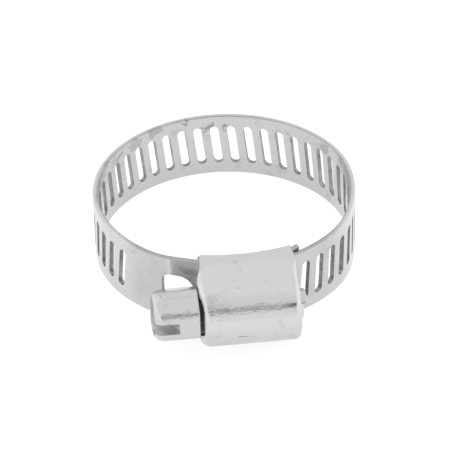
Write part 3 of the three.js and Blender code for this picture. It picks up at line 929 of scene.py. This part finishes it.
def steel(name, light, dark, rough, grain, lines, waves=0.25, band=False, pressed=False, rubbed=None):
    """Bright stainless steel, light with darker stains. rough gives the range of its roughness and grain
    the frequency of its fine lines along X, Y and Z, in 1/m. lines and waves say how much the lines and
    the dents show, and rubbed says where its grain is broken."""
    material, shader, n = new_material(name)
    # Dark grey for the inner face's tarnish and the cloudy smudges, and also for painted shade low down and a
    # painted dark reflection on the rim.
    tarnish_and_shade = grey(dark * 0.45, 0.01)
    place = surface_place(n, band)
    fine = n.grain(place, grain, 4.0, 0.6)
    broad = n.noise(place, 170.0, 3.0, 0.55)
    blotch = n.noise(place, 420.0, 5.0, 0.62)
    specks = n.noise(place, 1900.0, 2.0, 0.5)
    scratch = n.grain(place, (2600.0, 260.0, 900.0), 2.0, 0.5, turn=(0.5, 0.9, 0.3))
    stain = n.ramp(blotch, 0.56, 0.74)
    colour = n.mix(stain, grey(light), grey(dark, 0.01))
    colour = n.mix(n.ramp(specks, 0.73, 0.79, 0.0, 0.6), colour, grey(dark * 0.45, 0.02))
    if band:
        colour = n.mix(n.product(smudges(n, place), 0.8), colour, tarnish_and_shade)
        # Painted highlight on the edges' rounding towards the outer face, painted shade on their rounding
        # towards the inner face.
        edge = n.add("ShaderNodeAttribute", attribute_name="edge_highlight_and_shade").outputs["Fac"]
        colour = n.mix(n.ramp(edge, 0.1, 1.0, 0.0, 0.5), colour, grey(light * 1.12))
        colour = n.mix(n.ramp(edge, -0.5, -0.95, 0.0, 0.75), colour, grey(dark * 0.55))
        # Cloudy smudges, and a painted dark reflection on the top rim, beside the housing.
        colour = n.mix(clouds_and_rim_reflection(n, place), colour, tarnish_and_shade)
    if band or pressed:
        # Painted shade: darker towards the lower edge, on the band and on the housing.
        colour = n.mix(low_shade(n, place, 0.08 if band else 0.24), colour, tarnish_and_shade)
    if pressed:
        colour = n.mix(n.product(scuff(n, place), 0.85), colour, grey(dark * 0.25, 0.02))
    n.tree.links.new(colour, shader.inputs["Base Color"])
    shader.inputs["Metallic"].default_value = 1.0
    base = n.ramp(broad, 0.3, 0.7, *rough)
    rougher = n.math("ADD", base, n.ramp(scratch, 0.62, 0.75, 0.0, 0.12))
    rougher = n.math("ADD", rougher, n.product(stain, 0.1))
    n.tree.links.new(rougher, shader.inputs["Roughness"])
    normal = n.bump(fine, lines, 0.02 * MM)
    normal = n.bump(scratch, 0.12, 0.02 * MM, normal)
    normal = n.bump(broad, waves, 0.2 * MM, normal)
    normal = n.bump(blotch, waves, 0.03 * MM, normal)
    if rubbed:
        grit = n.grain(place, (1800.0, 3200.0, 3200.0), 3.0, 0.6)
        normal = n.bump(n.product(grit, rubbed(n, place)), 0.7, 0.12 * MM, normal)
    n.tree.links.new(normal, shader.inputs["Normal"])
    return material


def cut_steel(name, light, dark, grain, depth, turn=(0, 0, 0), band=False):
    """Sheared, sawn or turned steel: rougher, with tool marks that lie as grain and turn say."""
    material, shader, n = new_material(name)
    place = surface_place(n, band)
    marks = n.grain(place, grain, 3.0, 0.6, turn)
    blotch = n.noise(place, 900.0, 4.0, 0.6)
    colour = n.mix(n.ramp(marks, 0.35, 0.65), grey(dark), grey(light))
    colour = n.mix(n.ramp(blotch, 0.5, 0.7, 0.0, 0.5), colour, grey(dark * 0.7, 0.02))
    n.tree.links.new(colour, shader.inputs["Base Color"])
    shader.inputs["Metallic"].default_value = 1.0
    n.tree.links.new(n.ramp(blotch, 0.3, 0.7, 0.38, 0.6), shader.inputs["Roughness"])
    n.tree.links.new(n.bump(marks, 0.6, depth * MM), shader.inputs["Normal"])
    return material


# ---- Stage, light and camera ----

CAMERA_AZIMUTH, CAMERA_ELEVATION, CAMERA_ROLL = -6.0, 36.03, -1.33
CAMERA_DISTANCE = 341.8
CAMERA_LENS = 238.3
AIM_RIGHT, AIM_UP = 0.07, -1.17
OPENING_HEIGHT, OPENING_DARK = 0.545, 0.97
FLOOR_GAP = 0.02


def camera_axes():
    """The camera's right, up and back directions."""
    azimuth, elevation = math.radians(CAMERA_AZIMUTH), math.radians(CAMERA_ELEVATION)
    back = Vector((math.sin(azimuth) * math.cos(elevation), -math.cos(azimuth) * math.cos(elevation),
                   math.sin(elevation)))
    right = Vector((math.cos(azimuth), math.sin(azimuth), 0))
    level_up = back.cross(right)
    roll = math.radians(CAMERA_ROLL)
    return (right * math.cos(roll) + level_up * math.sin(roll),
            level_up * math.cos(roll) - right * math.sin(roll), back)


def make_camera():
    """The photograph's camera, aimed near the ring's centre."""
    right, up, back = camera_axes()
    data = bpy.data.cameras.new("camera")
    data.sensor_width, data.lens = 36.0, CAMERA_LENS
    data.clip_start, data.clip_end = 0.01, 50.0
    camera = bpy.data.objects.new("camera", data)
    aim = (right * AIM_RIGHT + up * AIM_UP) * MM
    turn = Matrix((right, up, back)).transposed()
    camera.matrix_world = Matrix.Translation(aim + back * CAMERA_DISTANCE * MM) @ turn.to_4x4()
    bpy.context.scene.collection.objects.link(camera)
    bpy.context.scene.camera = camera


def make_floor(height):
    """A floor that glows as white as the tent, with a soft shadow under the object."""
    size = 3.0
    corners = [(-size, -size, height), (size, -size, height), (size, size, height), (-size, size, height)]
    floor = mesh_object("floor", np.array(corners) / MM, [(0, 1, 2, 3)], [])
    material, shader, _ = new_material("floor")
    shader.inputs["Base Color"].default_value = (0.3, 0.3, 0.3, 1)
    shader.inputs["Emission Color"].default_value = (1, 1, 1, 1)
    shader.inputs["Emission Strength"].default_value = 0.82
    shader.inputs["Roughness"].default_value = 0.9
    shader.inputs["Specular IOR Level"].default_value = 0.1
    floor.data.materials.append(material)


def make_world():
    """A white tent, brighter at its sides, with the dark opening that the camera looks through."""
    world = bpy.data.worlds.new("tent")
    world.use_nodes = True
    tree = world.node_tree
    n = Nodes(tree)
    at = n.split(n.add("ShaderNodeTexCoord").outputs["Generated"])
    tent = n.ramp(at["Z"], -0.1, 0.9, 1.02, 0.96)
    sides = n.ramp(n.math("ABSOLUTE", at["X"], 0.0), 0.45, 0.8, 1.0, 1.25)
    at_height = n.ramp(n.away(at["Z"], OPENING_HEIGHT), 0.06, 0.15, 1.0, 0.0)
    azimuth = math.radians(CAMERA_AZIMUTH)
    facing = n.math("ADD", n.product(at["X"], math.sin(azimuth)), n.product(at["Y"], -math.cos(azimuth)))
    opening = n.product(at_height, n.ramp(facing, 0.45, 0.7), OPENING_DARK)
    level = n.product(tent, sides, n.math("SUBTRACT", 1.0, opening))
    background = tree.nodes["Background"]
    tree.links.new(level, background.inputs["Strength"])
    background.inputs["Color"].default_value = (1.0, 1.0, 0.995, 1)
    bpy.context.scene.world = world


def make_light(name, position, size, power):
    """A round lamp that faces the object."""
    data = bpy.data.lights.new(name, "AREA")
    data.shape, data.size, data.energy = "DISK", size, power
    light = bpy.data.objects.new(name, data)
    light.location = position
    light.rotation_mode = "QUATERNION"
    light.rotation_quaternion = Vector(position).to_track_quat("Z", "Y")
    bpy.context.scene.collection.objects.link(light)


make_camera()
make_world()
make_floor(cad_low.z - FLOOR_GAP * MM)
make_light("top", position=(-0.3, 0.2, 1.2), size=1.6, power=0.5)
bpy.context.scene.view_settings.view_transform = "Standard"

band_steel = steel("band_steel", light=0.62, dark=0.5, rough=(0.13, 0.24), grain=(90.0, 90.0, 7000.0),
                   lines=0.1, band=True)
# Darker cut steel for the slot walls and the cut ends, also laid on the fixed end's last stretch as painted
# shade.
punched_and_end_shade = cut_steel("punched_edge_and_end_shade", light=0.42, dark=0.28, grain=(1200.0, 1200.0, 900.0), depth=0.04,
                    band=True)
housing_steel = steel("housing_steel", light=0.63, dark=0.52, rough=(0.15, 0.26),
                      grain=(500.0, 2600.0, 2600.0), lines=0.22, pressed=True, rubbed=rubbed_line)
screw_steel = steel("screw_steel", light=0.585, dark=0.45, rough=(0.16, 0.28), grain=(900.0, 3000.0, 3000.0),
                    lines=0.2, waves=0.6, rubbed=rubbed_corners)
sawn = cut_steel("sawn_slot", light=0.95, dark=0.55, grain=(2600.0, 160.0, 900.0), depth=0.08,
                 turn=(0.0, 0.0, 0.5))
# The neck's near-black steel is painted shade: the neck lies in shadow between the head and the housing.
turned = cut_steel("neck_painted_shade", light=0.1, dark=0.05, grain=(900.0, 4000.0, 4000.0), depth=0.04)
dark_end = cut_steel("sheared_head_end", light=0.42, dark=0.26, grain=(3000.0, 500.0, 2600.0), depth=0.05)

band_pieces([band_steel, punched_and_end_shade])

shell = housing_piece(housing_steel)
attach(shell, "root")
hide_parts("housing")

screw = screw_piece(screw_steel, sawn, turned, dark_end)
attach(screw, "worm_screw")
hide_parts("worm_screw")
